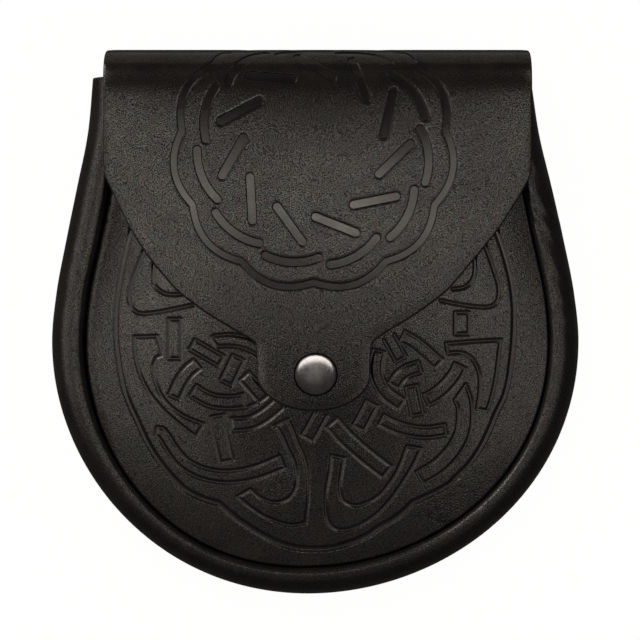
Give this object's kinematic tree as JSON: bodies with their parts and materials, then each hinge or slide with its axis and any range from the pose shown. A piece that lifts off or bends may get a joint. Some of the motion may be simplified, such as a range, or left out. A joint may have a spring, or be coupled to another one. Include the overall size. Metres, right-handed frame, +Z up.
{
  "type": "sporran pouch",
  "caption": "Black leather day sporran: rounded pouch with a rolled gusset, embossed front and flap, tab with press stud, and belt loops behind.",
  "frame": {"origin": "centre of the bounding box on the surface that the pouch lies on", "axes": "+Z up, out of the front of the pouch; +Y towards the fold at its top; +X to the right seen from the front"},
  "size_m": [0.1986, 0.2046, 0.0412],
  "materials": {
    "embossed_leather": "black, fine grain, satin, burnished in the embossed lines",
    "plain_leather": "black, fine grain, satin",
    "stud_metal": "antique nickel, satin"
  },
  "bodies": {
    "root": {"back_and_flap": "embossed_leather", "front_panel": "embossed_leather", "gusset": "plain_leather", "belt_loop_left": "plain_leather", "belt_loop_right": "plain_leather", "stud_cap": "stud_metal", "stud_base": "stud_metal"}
  },
  "joints": []
}
